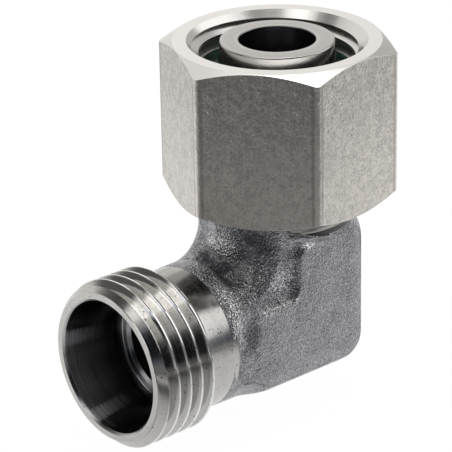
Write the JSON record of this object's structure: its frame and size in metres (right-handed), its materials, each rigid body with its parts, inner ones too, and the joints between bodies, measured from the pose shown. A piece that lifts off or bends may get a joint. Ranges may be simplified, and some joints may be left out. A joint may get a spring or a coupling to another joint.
{
  "type": "adjustable elbow fitting",
  "caption": "Right-angle hydraulic tube fitting with a 24 degree cone socket on one leg and an O-ring sealed swivel nose with a loose union nut on the other.",
  "frame": {"origin": "centre of the swivel nose's flat tip; the crossing of the two port axes is 29.8 mm below it, at (0, 0, -0.0298)", "axes": "+Z out of the swivel port along its axis, -X out of the fixed port along its axis, Y across the side flats"},
  "size_m": [0.0366, 0.0232, 0.0388],
  "materials": {
    "elbow_body": "blasted forging with turned ends, stainless",
    "swivel_nut": "fine brushed stainless with turned chamfers",
    "retaining_ring": "drawn spring wire",
    "cone_o_ring": "matt green fluoro rubber"
  },
  "bodies": {
    "elbow": {"elbow_body": "elbow_body", "cone_o_ring": "cone_o_ring"},
    "ring": {"retaining_ring": "retaining_ring"},
    "nut": {"swivel_nut": "swivel_nut"}
  },
  "joints": [
    {"name": "nut_swivel", "type": "hinge", "parent": "elbow", "child": "ring", "pos_m": [0, 0, 0], "axis": [0, 0, 1], "continuous": true},
    {"name": "nut_float", "type": "slide", "parent": "ring", "child": "nut", "axis": [0, 0, 1], "range_m": [0, 0.002]}
  ]
}
